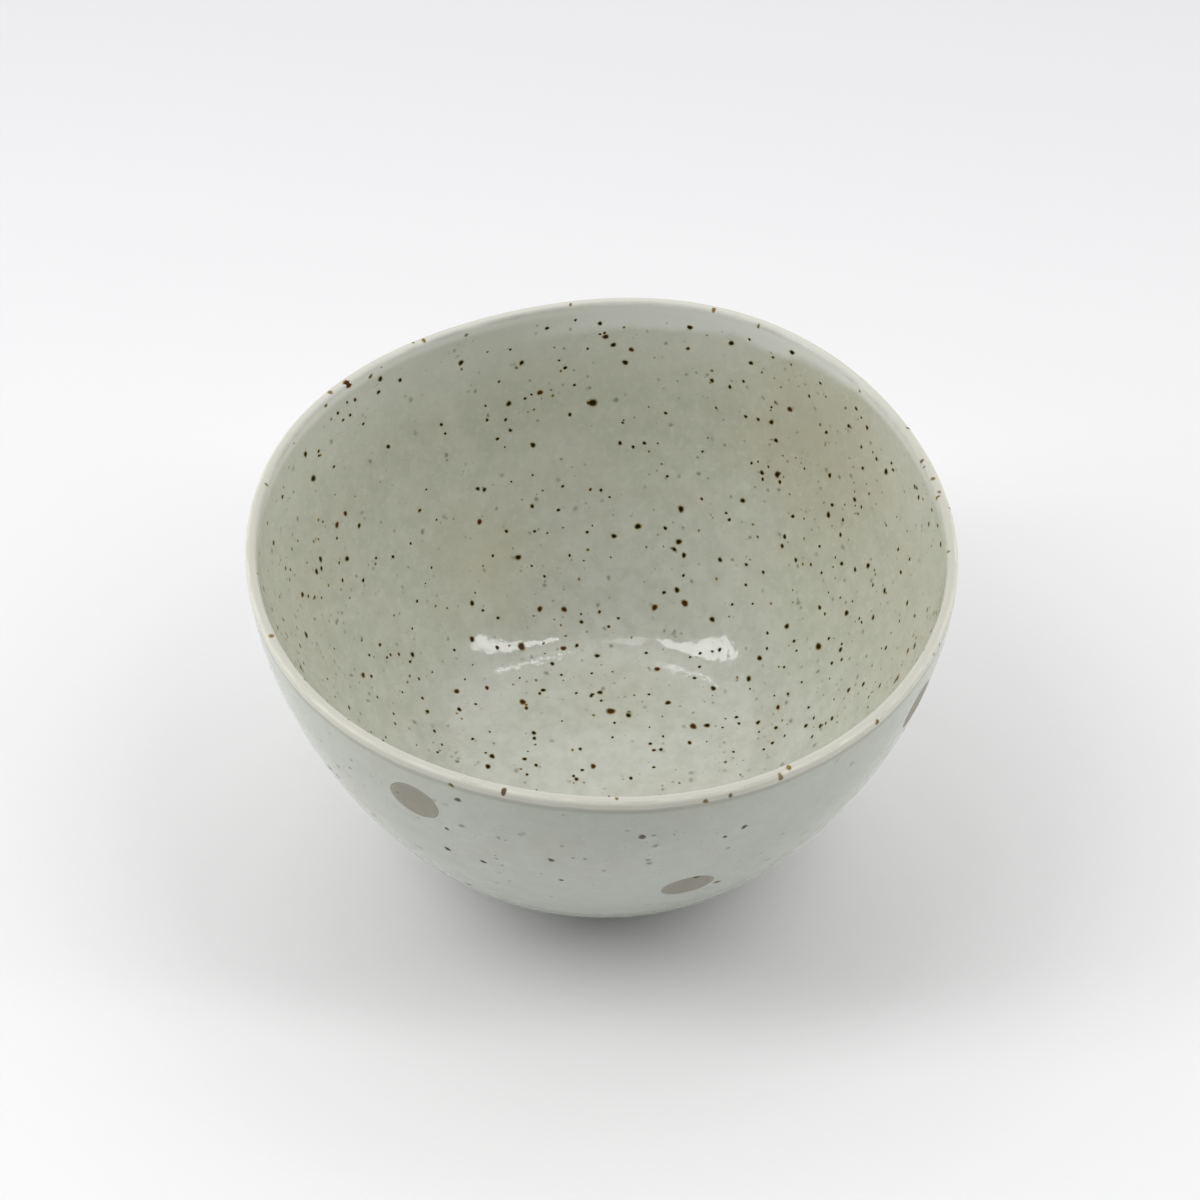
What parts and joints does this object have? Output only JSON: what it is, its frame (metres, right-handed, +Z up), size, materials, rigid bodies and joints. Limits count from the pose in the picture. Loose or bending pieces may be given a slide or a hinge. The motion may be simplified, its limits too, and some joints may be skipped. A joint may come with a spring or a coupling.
{
  "type": "bowl",
  "caption": "Small round footed stoneware bowl for berries, with a thin wavering lip, speckled pale glaze inside and out, and matte dots on the outside.",
  "frame": {"origin": "on the table under the middle of the foot ring", "axes": "+Z up through the middle of the bowl, -Y towards the viewer of the picture, +X to the right"},
  "size_m": [0.1495, 0.1496, 0.0856],
  "materials": {
    "stoneware": "bare fired speckled stoneware, matte and slightly grainy",
    "liner_glaze": "glossy pale grey-green glaze with warm blushes and dark iron specks",
    "outer_glaze": "glossy pale grey-green glaze with dark iron specks, creamy at the lip",
    "matte_slip": "matte taupe slip, smooth"
  },
  "bodies": {
    "root": {"clay_body": "stoneware", "foot_ring": "stoneware", "liner_glaze": "liner_glaze", "outer_glaze": "outer_glaze", "slip_dot_1": "matte_slip", "slip_dot_2": "matte_slip", "slip_dot_3": "matte_slip", "slip_dot_4": "matte_slip", "slip_dot_5": "matte_slip", "slip_dot_6": "matte_slip", "slip_dot_7": "matte_slip", "slip_dot_8": "matte_slip"}
  },
  "joints": []
}
